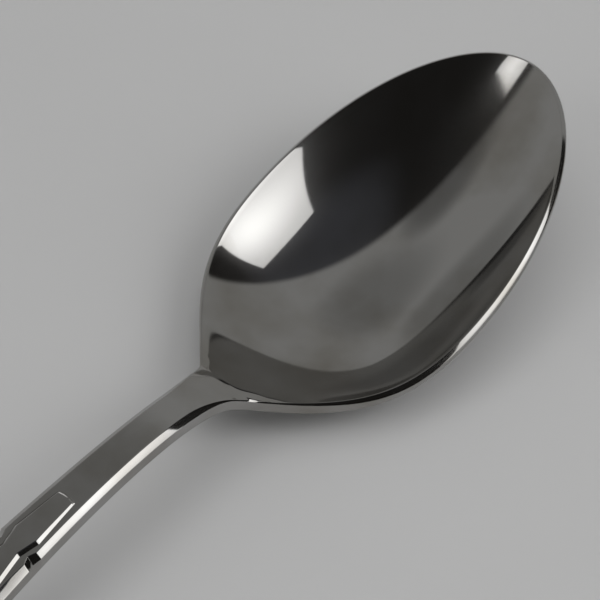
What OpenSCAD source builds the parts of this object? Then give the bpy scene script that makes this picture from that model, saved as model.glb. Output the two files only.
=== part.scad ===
// Soup spoon of polished stainless steel, lying as it rests on a table.
// One struck piece, split into zones that meet face to face on flat cuts.
// X runs along the spoon with the tip of the bowl at +X, Z is up, the table is z = 0.
// In the formulas u is the distance along X from the crease behind the bowl, towards the tip,
// and heights are measured from the lip halfway along the bowl.

/* [Overall] */
// Length from the end of the handle to the tip of the bowl
overall_len = 200; // [190:1:215]
// Length of the bowl from the crease to the tip
bowl_len = 70; // [66:1:74]
// Greatest width of the bowl
bowl_w = 43; // [39:0.5:47]

/* [Bowl outline] */
// Distance of the widest place from the crease
wide_at = 32; // [29:0.5:35]
// Width across the shoulders where the bowl leaves the handle
root_w = 9.7; // [8.5:0.1:11]
// Distance of the shoulder corners in front of the crease
root_at = 0.5; // [0.3:0.1:0.8]
// Angle of the shoulders to the long axis
shoulder_angle = 42.6; // [36:0.2:48]
// Length of the straight run of the shoulders
back_full = 15.5; // [12:0.5:18]
// Fullness of the sides behind the widest place
side_full = 16.5; // [12:0.5:18]
// Fullness of the sides in front of the widest place
front_full = 22.4; // [18:0.2:25]
// Fullness of the tip
tip_full = 10.6; // [8:0.2:13]

/* [Bowl lip] */
// Width of the sloping lip
lip = 0.75; // [0.65:0.05:0.9]
// Slope of the lip, as the drop from its inner to its outer edge
lip_drop = 0.62; // [0.5:0.01:0.7]
// Share of the width of the lip and of the bevel that is left at the shoulders
shoulder_edge = 0.25; // [0.2:0.01:0.5]
// Height of the upright outer edge of the lip
lip_edge = 0.8; // [0.6:0.05:0.85]
// Rise of the tip, as the angle of the lip to the table
rim_tilt = 14.5; // [12:0.5:16]
// Hollow of the lip line, seen from the side
rim_sag = 0.75; // [0.3:0.05:1.2]
// Height the lip climbs on its way to the neck
neck_rise = 6.1; // [5:0.1:7]
// Length over which the lip climbs to the neck
rise_len = 21.3; // [18:0.1:24]

/* [Bowl hollow] */
// Thickness of the bowl
wall = 1.3; // [1.1:0.05:1.6]
// Steepness of the middle where the neck turns into the hollow, in degrees
back_angle = 30.2; // [28:0.2:32]
// Length over which the hollow keeps that steepness
back_len = 4.6; // [4:0.1:5.5]
// Steepness of the hollow at the tip, in degrees
tip_angle = 39.8; // [38.6:0.2:41]
// Length of the rise towards the tip
tip_len = 57.6; // [55:0.2:60]
// Fullness of the hollow across the bowl
wall_full = 0.21; // [0:0.01:0.4]

/* [Handle] */
// Slope of the neck at the crease, as rise over run
neck_slope = 0.85; // [0.75:0.01:1]
// Length over which the neck levels out
neck_len = 7; // [6:0.1:8]
// Height of the middle above the shoulders where the neck meets the hollow
crown = 0.95; // [0.6:0.05:1.3]
// How late the handle turns down towards the table
fall_late = 3.5; // [3:0.1:4]
// Length of the end that lies flat on the table
end_flat = 12; // [8:0.5:16]
// Width of the stem behind the neck
stem_w = 6; // [5:0.1:7]
// Length of the flare from the stem to the shoulders
flare_len = 3.15; // [2.5:0.05:4]
// Width of the end of the handle
end_w = 20; // [17:0.5:23]
// How late the handle widens
swell_late = 2.35; // [2:0.05:2.8]
// Length of the rounded end
end_round = 14; // [11:0.5:16]
// Thickness of the stem
stem_t = 3.3; // [3.1:0.05:3.6]
// Thickness of the end
end_t = 2.2; // [2:0.05:2.6]
// Distance from the crease where the handle starts to thin
thin_from = 50; // [44:1:60]
// Width of the bevel along the edges of the stem
bevel_w = 0.9; // [0.7:0.05:1.1]
// Width of the bevel along the edges of the end
bevel_end_w = 1.25; // [1:0.05:1.5]
// Height of the bevel
bevel_h = 0.73; // [0.6:0.01:0.85]
// Height of the rounded lower edges
base_h = 0.7; // [0.5:0.05:0.8]

/* [Ornament] */
// Distance of the front of the raised panel from the crease
panel_from = 30.6; // [29:0.1:32]
// Height of the raised panel
panel_h = 0.42; // [0.3:0.01:0.5]
// Width of the bevel around the raised panel
panel_bevel = 0.52; // [0.4:0.01:0.8]
// Bulge of the panel's front edge
panel_bulge = 0.3; // [0.1:0.05:0.5]
// Width of the panel at its front
panel_front_w = 3.1; // [2.6:0.1:3.4]
// Width of the panel just in front of the waist
panel_mid_w = 4.6; // [4.2:0.1:4.8]
// Width of the panel at the waist
panel_waist_w = 3.3; // [2.8:0.1:3.6]
// Distance from the panel to the bevel of the handle behind the waist
panel_gap = 0.45; // [0.35:0.05:0.7]
// Distance of the panel's end from the end of the handle
panel_end_gap = 8; // [6:0.5:11]
// Length of the panel's rounded end
panel_end_round = 12; // [9:0.5:14]
// Distance of the nicks in the edges from the crease
nick_at = 40.5; // [39:0.1:42]
// Length of the nicks along the edge
nick_len = 2.3; // [1.6:0.1:2.8]
// Depth of the nicks
nick_depth = 0.45; // [0.3:0.05:0.6]

/* [Zones] */
// Length of handle that belongs to the bowl's shoulders
root_len = 5; // [4:0.5:7]
// Distance of the cut between neck and stem from the crease
stem_from = 22; // [18:1:26]
// Distance of the cut between stem and terminal from the crease
terminal_from = 75; // [66:1:84]

/* [Hidden] */

steel = [0.74, 0.74, 0.73];
handle_len = overall_len - bowl_len;
handle_mid = (handle_len - bowl_len) / 2;
hollow_end = bowl_len - lip;
flat_from = handle_len - end_flat;
round_from = handle_len - end_round;
panel_to = handle_len - panel_end_gap;
panel_round_from = panel_to - panel_end_round;

// Shape constants: how sharply the curves bend, and the lengths over which one shape turns into the next.
rise_late = 2.5;
swell_sharp = 6;
flat_share = 0.7;
under_blend = 6;
dish_blend = 12;
root_fade = 4;
edge_len = 11;
edge_sharp = 4;
bevel_fade = 9;
crown_reach = 17;
crown_late = (neck_slope - tan(back_angle)) * crown_reach / crown;
shoulder_from = -9.5;
shoulder_at = -1;
shoulder_to = 19;
bevel_grow = 8;
waist_lag = 0.7;
waist_len = 4.3;
panel_mid_at = nick_at - nick_len;

// Columns across the top and the underside, and stations along each zone.
top_cols = 16;
under_cols = top_cols + 2;
solve_steps = 40;
root_steps = 5;
back_steps = 16;
front_steps = 26;
neck_steps = 8;
stem_steps = 8;
terminal_steps = 14;
round_steps = 10;

function mix(a, b, t) = a * (1 - t) + b * t;
function clamp(t) = max(0, min(1, t));
function ease(t) = clamp(t) * clamp(t) * (3 - 2 * clamp(t));
function span(a, b, n) = [for (i = [0 : n]) mix(a, b, i / n)];
function polar(r, angle) = [r * cos(angle), r * sin(angle)];

// Cubic curve through four control points, its direction, and its parameter at a given u.
function curve(p, t) =
    p[0] * pow(1 - t, 3) + p[1] * 3 * t * pow(1 - t, 2) + p[2] * 3 * t * t * (1 - t) + p[3] * pow(t, 3);
function curve_dir(p, t) =
    (p[1] - p[0]) * pow(1 - t, 2) + (p[2] - p[1]) * 2 * t * (1 - t) + (p[3] - p[2]) * t * t;
function curve_t(p, u, lo = 0, hi = 1, n = solve_steps) =
    let (mid = (lo + hi) / 2)
    n == 0 ? mid : curve(p, mid)[0] < u ? curve_t(p, u, mid, hi, n - 1) : curve_t(p, u, lo, mid, n - 1);

// Height of the lip's inner edge above its height halfway along the bowl.
function rim_z(u) =
    let (m = bowl_len / 2, climb = max(0, (rise_len - u) / rise_len))
    tan(rim_tilt) * (u - m) + rim_sag * pow((u - m) / m, 2) + neck_rise * pow(climb, rise_late);

// Bottom line of the hollow, from the crease to the inner edge of the lip at the tip.
keel = [
    [0, rim_z(0) + crown],
    [0, rim_z(0) + crown] + polar(back_len, -back_angle),
    [hollow_end, rim_z(hollow_end)] - polar(tip_len, tip_angle),
    [hollow_end, rim_z(hollow_end)]
];
function keel_z(u) = curve(keel, curve_t(keel, u))[1];
function keel_slope(u) = let (d = curve_dir(keel, curve_t(keel, u))) d[1] / d[0];

// Bottom line of the outside of the bowl, one wall below the hollow and thicker at the root.
root_wall = stem_t / norm([1, keel_slope(0)]);
function bowl_wall(u) = mix(wall, root_wall, exp(-u / root_fade));
function under_bowl(u) =
    let (v = min(u, hollow_end), slope = keel_slope(v))
    keel_z(v) + slope * (u - v) - bowl_wall(v) * norm([1, slope]);

// Plan of the bowl's outer edge behind and in front of the widest place.
root_corner = [root_at, root_w / 2];
widest = [wide_at, bowl_w / 2];
outline_back = [
    root_corner,
    root_corner + polar(back_full, shoulder_angle),
    widest - [side_full, 0],
    widest
];
outline_front = [widest, widest + [front_full, 0], [bowl_len, tip_full], [bowl_len, 0]];

// Share of the width and drop of the lip and of the bevel, which thin out at the shoulders.
function edge_share(u) =
    let (
        back = ease((u - shoulder_from) / (shoulder_at - shoulder_from)),
        front = ease((shoulder_to - u) / (shoulder_to - shoulder_at))
    )
    mix(1, shoulder_edge, back * front);
function lip_w(u) = lip * edge_share(u);

// A station holds u at the middle, then u and half width at the lip's inner edge and at its outer edge.
function lip_station(p, t, bow) =
    let (o = curve(p, t), d = curve_dir(p, t), i = o + lip_w(o[0]) * [d[1], -d[0]] / norm(d))
    [i[0] - bow, i[0], i[1], o[0], o[1]];
lip_lead = lip_w(root_at) * sin(shoulder_angle);
crease_bow = root_at + lip_lead;
bowl_stations = concat(
    [for (t = span(0, 1, back_steps)) lip_station(outline_back, t, crease_bow * (1 - ease(2 * t)))],
    [for (t = span(1 / front_steps, 1, front_steps - 1)) lip_station(outline_front, t, 0)]
);
floor_z = min([for (s = bowl_stations) if (s[3] > under_blend) under_bowl(s[3])]);

// Height of the top of the handle and, in front of the crease, of the lip.
neck_top = rim_z(0) + neck_slope * neck_len;
function top_z(u) =
    u > 0
        ? rim_z(u)
        : let (turn = 90 * min(1, -u / flat_from))
          neck_top - neck_slope * neck_len * exp(u / neck_len)
              - (neck_top - floor_z - end_t) * pow(sin(turn), fall_late);
function handle_t(u) = mix(stem_t, end_t, ease((-u - thin_from) / (flat_from - thin_from)));
function under_z(u) =
    let (plain = top_z(u) - handle_t(u))
    u <= 0 ? plain : mix(plain, under_bowl(u), ease(u / under_blend));

// Half width of the handle, and the bevel or lip along its edge.
function swell(v) = pow(v, swell_late) * (1 + swell_late / swell_sharp * (1 - pow(v, swell_sharp)));
function handle_half(u) =
    stem_w / 2 + (root_w - stem_w) / 2 * exp((u - root_at) / flare_len)
        + (end_w - stem_w) / 2 * swell(clamp(-u / round_from));
function bevel(u) = edge_share(u) * mix(bevel_w, bevel_end_w, ease((-u - nick_at + nick_len) / bevel_grow));
function edge_drop(u) = edge_share(u) * mix(bevel_h, lip_drop, ease(u / bevel_fade));
function edge_h(u) =
    u <= 0
        ? handle_t(u) - bevel_h - base_h
        : mix(lip_edge, stem_t - bevel_h - base_h, 1 / (1 + pow(u / edge_len, edge_sharp)));
function nick(u) = max(0, 1 - abs(u + nick_at) * 2 / nick_len);

function handle_station(q) =
    let (w = handle_half(-q))
    [-q, -q, w - bevel(-q), -q, w];
function root_station(t) =
    let (u = mix(-root_len, root_at, t), w = handle_half(u), b = t * t)
    [u - b * root_at, u + b * lip_lead, w - mix(bevel(u), lip_w(root_at) * cos(shoulder_angle), b), u, w];
function end_station(angle) =
    let (
        w = handle_half(-round_from),
        o = [-round_from - end_round * sin(angle), w * cos(angle)],
        n = [-w * sin(angle), end_round * cos(angle)],
        i = o - bevel_end_w * n / norm(n)
    )
    [i[0], i[0], i[1], o[0], o[1]];

// Shares of the depth across the hollow and across the underside, from the middle at s = 0 to the edge.
function dish(s) = (1 - s * s) * (1 + wall_full * s * s);
function slab(s) = 1 - pow(max(0, (abs(s) - flat_share) / (1 - flat_share)), 2);

// Height of the middle of the top over its edges: the neck is crowned and the bowl is hollow.
function crown_h(u) = crown * pow(max(0, 1 + u / crown_reach), crown_late);
function lift(u) = u <= 0 ? crown_h(u) : u < hollow_end ? keel_z(u) - rim_z(u) : 0;

// Rows of points across the top and the underside at one station.
function top_row(a) =
    let (
        cut = nick_depth * nick(a[3]),
        middle = lift(a[0]),
        z = top_z(a[3]) - edge_drop(a[3]) - cut
    )
    concat(
        [[a[3], cut - a[4], z]],
        [
            for (s = span(-1, 1, top_cols))
                let (u = mix(a[0], a[1], s * s))
                [u, s * (a[2] - cut), top_z(u) + middle * dish(s)]
        ],
        [[a[3], a[4] - cut, z]]
    );
function under_row(a) =
    let (
        u = a[3],
        z = top_z(u) - edge_drop(u) - edge_h(u),
        dished = ease((u + root_len) / (root_len + dish_blend))
    )
    [
        for (g = span(-90, 90, under_cols))
            let (s = sin(g), share = mix(slab(s), dish(s), dished))
            [u, s * a[4], z - (z - under_z(u)) * share]
    ];

// Closed solid between two grids of points with the same rows and columns.
// The first and the last row get a flat end where caps says so; elsewhere the row has no width.
// The diagonals of the cells are mirrored about the middle column.
module between(top, under, caps) {
    rows = len(top);
    cols = len(top[0]);
    last = rows - 1;
    side = cols - 1;
    points = [for (grid = [top, under], row = grid, p = row) p];
    function at(k, i, j) = (k * rows + i) * cols + j;
    function quad(a, b, c, d) = [[a, b, c], [a, c, d]];
    function cell(k, i, j) =
        let (a = at(k, i, j), b = at(k, i, j + 1), c = at(k, i + 1, j + 1), d = at(k, i + 1, j))
        j < side / 2 ? quad(b, c, d, a) : quad(a, b, c, d);
    function turned(cell) = [for (f = cell) [f[2], f[1], f[0]]];
    faces = [
        for (i = [0 : rows - 2], j = [0 : cols - 2])
            each concat(cell(0, i, j), turned(cell(1, i, j))),
        for (i = [0 : rows - 2])
            each concat(
                quad(at(0, i, 0), at(0, i + 1, 0), at(1, i + 1, 0), at(1, i, 0)),
                quad(at(0, i, side), at(1, i, side), at(1, i + 1, side), at(0, i + 1, side))
            ),
        for (j = [0 : cols - 2])
            if (caps[0])
                each quad(at(0, 0, j + 1), at(0, 0, j), at(1, 0, j), at(1, 0, j + 1)),
        for (j = [0 : cols - 2])
            if (caps[1])
                each quad(at(0, last, j), at(0, last, j + 1), at(1, last, j + 1), at(1, last, j))
    ];
    kept = [for (f = faces) if (corners_differ(points, f) && !in_middle_plane(points, f)) f];
    polyhedron(points, kept);
}

// Where a row has no width, cells shrink to a line or fold onto their mirror image in the middle plane.
function corners_differ(p, f) = p[f[0]] != p[f[1]] && p[f[1]] != p[f[2]] && p[f[2]] != p[f[0]];
function in_middle_plane(p, f) = p[f[0]][1] == 0 && p[f[1]][1] == 0 && p[f[2]][1] == 0;

// Places a zone with the middle of the spoon over the origin and its lowest point on the table.
module zone(stations, caps = [true, true]) {
    color(steel)
        translate([handle_mid, 0, -floor_z])
            between([for (a = stations) top_row(a)], [for (a = stations) under_row(a)], caps);
}

module bowl() {
    root = [for (t = span(0, 1 - 1 / root_steps, root_steps - 1)) root_station(t)];
    zone(concat(root, bowl_stations), [true, false]);
}

module neck() {
    zone([for (q = span(stem_from, root_len, neck_steps)) handle_station(q)]);
}

stem_stations = [
    for (q = concat(
        span(terminal_from, nick_at + nick_len / 2, stem_steps),
        [nick_at],
        span(nick_at - nick_len / 2, stem_from, stem_steps)
    ))
        handle_station(q)
];
module stem() {
    zone(stem_stations);
}

terminal_stations = concat(
    [for (angle = span(90, 90 / round_steps, round_steps - 1)) end_station(angle)],
    [for (q = span(round_from, terminal_from, terminal_steps)) handle_station(q)]
);
module terminal() {
    zone(terminal_stations, [false, true]);
}

// The raised panel lies on the flat facets of the stem and the terminal.
handle_us = [for (a = concat(terminal_stations, stem_stations)) a[0]];
handle_tops = [for (u = handle_us) [u, top_z(u)]];
function facet_z(u) = lookup(u, handle_tops);

// Half width of the foot of the raised panel.
waist_at = nick_at + waist_lag;
waist_to = waist_at + waist_len;
function panel_edge(q) = handle_half(-q) - bevel(-q) - panel_gap;
function panel_half(q) =
    let (
        plan = [
            [panel_from, panel_front_w / 2],
            [panel_mid_at, panel_mid_w / 2],
            [waist_at, panel_waist_w / 2],
            [waist_to, panel_edge(waist_to)]
        ],
        end = clamp((q - panel_round_from) / panel_end_round)
    )
    (q < waist_to ? lookup(q, plan) : panel_edge(q)) * sqrt(1 - end * end);
function panel_row(q, half, top_half, h, bulge) =
    let (sides = [-half, -top_half, -top_half / 2, 0, top_half / 2, top_half, half])
    [
        for (j = [0 : len(sides) - 1])
            let (
                y = sides[j],
                u = -q + (half > 0 ? bulge * (1 - pow(y / half, 2)) : 0),
                raised = j > 0 && j < len(sides) - 1 ? h : 0
            )
            [u, y, facet_z(u) + raised]
    ];
function panel_rows(h) = concat(
    [panel_row(panel_to, 0, 0, 0, 0)],
    [
        for (angle = span(90, 0, round_steps))
            let (
                top_round = panel_end_round - panel_bevel,
                q = panel_round_from + top_round * sin(angle),
                top_half = (panel_edge(q) - panel_bevel) * cos(angle)
            )
            panel_row(q, panel_half(q), top_half, h, 0)
    ],
    [
        for (u = handle_us)
            if (u > -panel_round_from && u < -waist_to)
                panel_row(-u, panel_half(-u), panel_half(-u) - panel_bevel, h, 0)
    ],
    [
        for (q = [waist_to, waist_at, panel_mid_at, (panel_mid_at + panel_from) / 2])
            panel_row(q, panel_half(q), panel_half(q) - panel_bevel, h, 0)
    ],
    [panel_row(panel_from + panel_bevel, panel_half(panel_from + panel_bevel),
        panel_half(panel_from) - panel_bevel, h, panel_bulge)],
    [panel_row(panel_from, panel_half(panel_from), panel_half(panel_from) - panel_bevel, 0, panel_bulge)]
);

module panel() {
    color(steel)
        translate([handle_mid, 0, -floor_z])
            between(panel_rows(panel_h), panel_rows(0), [false, false]);
}

bowl();
neck();
stem();
terminal();
panel();
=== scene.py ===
"""Polished steel skins for a soup spoon, one for each zone of its frame, with a table and studio light."""

import math

import bpy
import numpy as np
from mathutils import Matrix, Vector


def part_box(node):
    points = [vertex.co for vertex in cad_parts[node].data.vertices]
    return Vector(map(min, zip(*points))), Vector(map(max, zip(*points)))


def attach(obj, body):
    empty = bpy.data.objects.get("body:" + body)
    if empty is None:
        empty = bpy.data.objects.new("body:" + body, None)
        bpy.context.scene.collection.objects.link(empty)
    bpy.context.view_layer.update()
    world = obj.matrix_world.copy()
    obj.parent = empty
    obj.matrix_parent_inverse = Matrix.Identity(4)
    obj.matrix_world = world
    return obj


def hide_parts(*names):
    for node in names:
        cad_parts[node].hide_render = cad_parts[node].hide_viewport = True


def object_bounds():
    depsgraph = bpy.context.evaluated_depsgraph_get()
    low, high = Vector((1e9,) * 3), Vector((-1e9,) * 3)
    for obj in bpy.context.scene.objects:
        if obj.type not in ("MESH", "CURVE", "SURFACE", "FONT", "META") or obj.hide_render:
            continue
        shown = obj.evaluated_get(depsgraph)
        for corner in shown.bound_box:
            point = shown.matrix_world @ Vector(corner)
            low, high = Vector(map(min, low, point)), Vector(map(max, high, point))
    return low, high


bl_info = {
    "name": "Soup Spoon",
    "version": (1, 0, 0),
    "blender": (4, 5, 0),
    "location": "3D View > Sidebar > Spoon",
    "description": "Builds the polished steel skins of a soup spoon on its frame, with table and light",
    "category": "Object",
}

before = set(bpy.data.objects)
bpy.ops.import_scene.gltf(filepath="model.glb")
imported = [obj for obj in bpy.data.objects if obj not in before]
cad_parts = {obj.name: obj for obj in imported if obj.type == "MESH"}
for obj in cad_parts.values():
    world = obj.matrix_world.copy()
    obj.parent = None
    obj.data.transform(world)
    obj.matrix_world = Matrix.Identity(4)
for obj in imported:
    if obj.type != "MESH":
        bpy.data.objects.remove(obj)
CAD_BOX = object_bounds()
MM = 0.001
TINY = 1e-12


def length(name, mm, description):
    """A length in the sidebar, given here in millimetres."""
    return bpy.props.FloatProperty(
        name=name, description=description, default=mm * MM, precision=5, subtype="DISTANCE", unit="LENGTH"
    )


def angle(name, degrees, description):
    """An angle in the sidebar, given here in degrees."""
    return bpy.props.FloatProperty(
        name=name, description=description, default=math.radians(degrees), subtype="ANGLE", unit="ROTATION"
    )


def number(name, value, description):
    """A plain number in the sidebar: a share, a power, a roughness or a strength."""
    return bpy.props.FloatProperty(name=name, description=description, default=value, precision=4)


def colour(name, code, description):
    """A colour in the sidebar, given here as an sRGB hex value."""
    return bpy.props.FloatVectorProperty(
        name=name, description=description, default=linear(code), subtype="COLOR", size=3, min=0, max=1
    )


def linear(code):
    """The linear colour of an sRGB hex value."""
    channels = [int(code[i : i + 2], 16) / 255 for i in (1, 3, 5)]
    return [c / 12.92 if c <= 0.04045 else ((c + 0.055) / 1.055) ** 2.4 for c in channels]


def in_mm(low, high):
    """The distance between two places of the frame, in millimetres."""
    return (high - low) / MM


class SpoonSizes(bpy.types.PropertyGroup):
    """Sizes of the spoon. The overall sizes and the cuts between the zones come from the frame."""

    overall_len: length("Length", in_mm(CAD_BOX[0].x, CAD_BOX[1].x), "From the end of the handle to the tip")
    bowl_w: length("Bowl width", in_mm(CAD_BOX[0].y, CAD_BOX[1].y), "Greatest width of the bowl")
    bowl_len: length("Bowl length", 70, "From the crease behind the bowl to its tip")

    wide_at: length("Widest place", 32, "Distance of the widest place from the crease")
    root_w: length("Shoulder width", 9.7, "Width where the bowl leaves the handle")
    root_at: length("Shoulder corners", 0.5, "Distance of the shoulder corners in front of the crease")
    shoulder_angle: angle("Shoulder angle", 42.6, "Angle of the shoulders to the long axis")
    back_full: length("Shoulder run", 15.5, "Length of the straight run of the shoulders")
    side_full: length("Fullness behind", 16.5, "Fullness of the sides behind the widest place")
    front_full: length("Fullness in front", 22.4, "Fullness of the sides in front of the widest place")
    tip_full: length("Tip fullness", 10.6, "Fullness of the tip")

    lip: length("Lip width", 0.75, "Width of the sloping lip")
    lip_drop: length("Lip slope", 0.62, "Drop from the inner to the outer edge of the lip")
    lip_edge: length("Lip edge", 0.8, "Height of the upright outer edge of the lip")
    shoulder_edge: number("Shoulder edge", 0.25, "Share of the lip and the bevel left at the shoulders")
    rim_tilt: angle("Rim tilt", 14.5, "Angle of the lip to the table")
    rim_sag: length("Rim sag", 0.75, "Hollow of the lip line, seen from the side")
    neck_rise: length("Neck rise", 6.1, "Height the lip climbs on its way to the neck")
    rise_len: length("Rise length", 21.3, "Length over which the lip climbs to the neck")

    wall: length("Wall", 1.3, "Thickness of the bowl")
    back_angle: angle("Back angle", 30.2, "Steepness of the middle where the neck turns into the hollow")
    back_len: length("Back length", 4.6, "Length over which the hollow keeps that steepness")
    tip_angle: angle("Tip angle", 39.8, "Steepness of the hollow at the tip")
    tip_len: length("Tip length", 57.6, "Length of the rise towards the tip")
    wall_full: number("Wall fullness", 0.21, "Fullness of the hollow across the bowl")

    neck_slope: number("Neck slope", 0.85, "Slope of the neck at the crease, as rise over run")
    neck_len: length("Neck length", 7, "Length over which the neck levels out")
    crown: length("Neck crown", 0.95, "Height of the middle above the shoulders, at the crease")
    fall_late: number("Late fall", 3.5, "How late the handle turns down towards the table")
    end_flat: length("Flat end", 12, "Length of the end that lies flat on the table")
    stem_w: length("Stem width", 6, "Width of the stem behind the neck")
    flare_len: length("Flare length", 3.15, "Length of the flare from the stem to the shoulders")
    end_w: length("End width", 20, "Width of the end of the handle")
    swell_late: number("Late swell", 2.35, "How late the handle widens")
    end_round: length("Rounded end", 14, "Length of the rounded end")
    stem_t: length("Stem thickness", 3.3, "Thickness of the stem")
    end_t: length("End thickness", 2.2, "Thickness of the end")
    thin_from: length("Thinning", 50, "Distance from the crease where the handle starts to thin")
    bevel_w: length("Stem bevel", 0.9, "Width of the bevel along the edges of the stem")
    bevel_end_w: length("End bevel", 1.25, "Width of the bevel along the edges of the end")
    bevel_h: length("Bevel height", 0.73, "Height of the bevel")
    base_h: length("Lower edge", 0.7, "Height of the rounded lower edges")

    panel_from: length("Panel front", 30.6, "Distance of the front of the raised panel from the crease")
    panel_h: length("Panel height", 0.42, "Height of the raised panel")
    panel_front_h: length("Panel front height", 0.24, "Height of the raised panel at its front")
    panel_rise: length("Panel rise", 8, "Length over which the panel gains its height")
    panel_bevel: length("Panel bevel", 0.52, "Width of the bevel around the raised panel")
    panel_bulge: length("Panel bulge", 0.3, "Bulge of the panel's front edge")
    panel_bead: length("Panel bead", 0.12, "Height of the fine bead along the panel's front edge")
    panel_front_w: length("Panel front width", 3.1, "Width of the panel at its front")
    panel_mid_w: length("Panel middle width", 4.6, "Width of the panel just in front of the waist")
    panel_waist_w: length("Panel waist", 3.3, "Width of the panel at the waist")
    panel_gap: length("Panel gap", 0.45, "Distance from the panel to the bevel of the handle")
    panel_end_gap: length("Panel end", 8, "Distance of the panel's end from the end of the handle")
    panel_end_round: length("Panel end length", 12, "Length of the panel's rounded end")
    nick_at: length("Nicks", 40.5, "Distance of the nicks in the edges from the crease")
    nick_len: length("Nick length", 2.3, "Length of the nicks along the edge")
    nick_depth: length("Nick depth", 0.45, "Depth of the nicks")

    edge_round: length("Edge rounding", 0.14, "Rounding that polishing left on the edges")
    lip_round: length("Lip rounding", 0.34, "Reach of the rounding at the outer edge of the lip")
    neck_round: length("Neck rounding", 6, "Length over which the lip line turns into the neck")


class SteelLook(bpy.types.PropertyGroup):
    """Finish of the steel."""

    bright: colour("Steel", "#aaa9a7", "Colour of the polished steel")
    dull: colour("Stained steel", "#928f89", "Colour of the steel where washing has dulled it")
    gloss: number("Roughness", 0.03, "Roughness of the polished steel")
    haze: number("Hazy roughness", 0.07, "Roughness where wiping has left a haze")
    haze_size: length("Haze size", 14, "Size of the hazy patches")
    ripple_size: length("Ripple size", 9, "Size of the ripples that striking and polishing left")
    ripple: length("Ripple depth", 0.004, "Depth of the ripples")
    hairline: length("Hairline spacing", 0.35, "Spacing of the fine polishing lines")
    scuff: number("Scuffed bowl", 0.13, "Share of the reflection that fine scratches spread in the bowl")
    scuff_handle: number("Scuffed handle", 0.03, "Share of the reflection that they spread on the handle")
    scuff_rough: number("Scuffed roughness", 0.25, "Roughness of the part that fine scratches spread")


class StageLook(bpy.types.PropertyGroup):
    """Table, surroundings, lamps and camera."""

    table: colour("Table", "#b8b8b8", "Colour of the table")
    backdrop: colour("Backdrop", "#a0a09f", "Brightness of the pale backdrop beyond the spoon")
    backdrop_dim: colour("Dim backdrop", "#6e6e6d", "Brightness of the dimmest folds of the backdrop")
    ceiling: colour("Ceiling", "#45464a", "Brightness of the dark ceiling")
    room: colour("Room", "#232221", "Brightness of the dark room behind the camera")
    wall: colour("Wall", "#8a8a89", "Brightness of the pale wall low behind the camera")
    key_glow: number("Key glow", 2.6, "Brightness of the large softbox's face")
    side_glow: number("Side glow", 2.05, "Brightness of the small softbox's face")
    key_watts: number("Key lamp", 8.6, "Power of the lamp in the large softbox")
    side_watts: number("Side lamp", 2.8, "Power of the lamp in the small softbox")
    top_watts: number("Top lamp", 9.3, "Power of the soft light from above")
    lamp_distance: length("Lamp distance", 1500, "Distance of the softboxes from the spoon")
    camera_azimuth: angle("Camera azimuth", -48.8, "Direction of the camera, from -Y towards +X")
    camera_elevation: angle("Camera elevation", 50.7, "Height of the camera above the horizon")
    camera_distance: length("Camera distance", 360.6, "Distance of the camera from what it looks at")
    camera_lens: number("Lens", 143.43, "Focal length in millimetres on a sensor 36 mm wide")


def mix(a, b, t):
    """The value a share t of the way from a to b."""
    return a * (1 - t) + b * t


def ease(t):
    """A smooth step from 0 at t = 0 to 1 at t = 1."""
    t = np.clip(t, 0, 1)
    return t * t * (3 - 2 * t)


def polar(r, direction):
    """A step of length r in a direction of the plane."""
    return np.array([r * math.cos(direction), r * math.sin(direction)])


def points(u, y, z):
    """One point for each entry of three arrays or numbers."""
    return np.stack(np.broadcast_arrays(u, y, z), axis=-1)


def curve(p, t):
    """Points of a cubic curve with four control points."""
    t = np.asarray(t, float)[..., None]
    return p[0] * (1 - t) ** 3 + p[1] * 3 * t * (1 - t) ** 2 + p[2] * 3 * t * t * (1 - t) + p[3] * t**3


def curve_dir(p, t):
    """Directions of a cubic curve, not of unit length."""
    t = np.asarray(t, float)[..., None]
    return (p[1] - p[0]) * (1 - t) ** 2 + (p[2] - p[1]) * 2 * t * (1 - t) + (p[3] - p[2]) * t * t


def curve_t(p, u, halvings=40):
    """Parameter at which a cubic curve reaches u."""
    low, high = np.zeros_like(u), np.ones_like(u)
    for _ in range(halvings):
        middle = (low + high) / 2
        short = curve(p, middle)[..., 0] < u
        low, high = np.where(short, middle, low), np.where(short, high, middle)
    return (low + high) / 2


def unit(v):
    """Vectors at unit length; one without length stays zero."""
    size = np.linalg.norm(v, axis=-1, keepdims=True)
    return np.divide(v, size, out=np.zeros_like(v), where=size > TINY)


def soft_min(a, b, soft):
    """The smaller of two lengths, rounded where they are alike."""
    return -soft * np.logaddexp(-a / soft, -b / soft)


def slab(s, flat=0.7):
    """Share of the thickness across the handle's underside, flat in the middle and rounded at the edges."""
    return 1 - np.maximum(0, (np.abs(s) - flat) / (1 - flat)) ** 2


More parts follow.
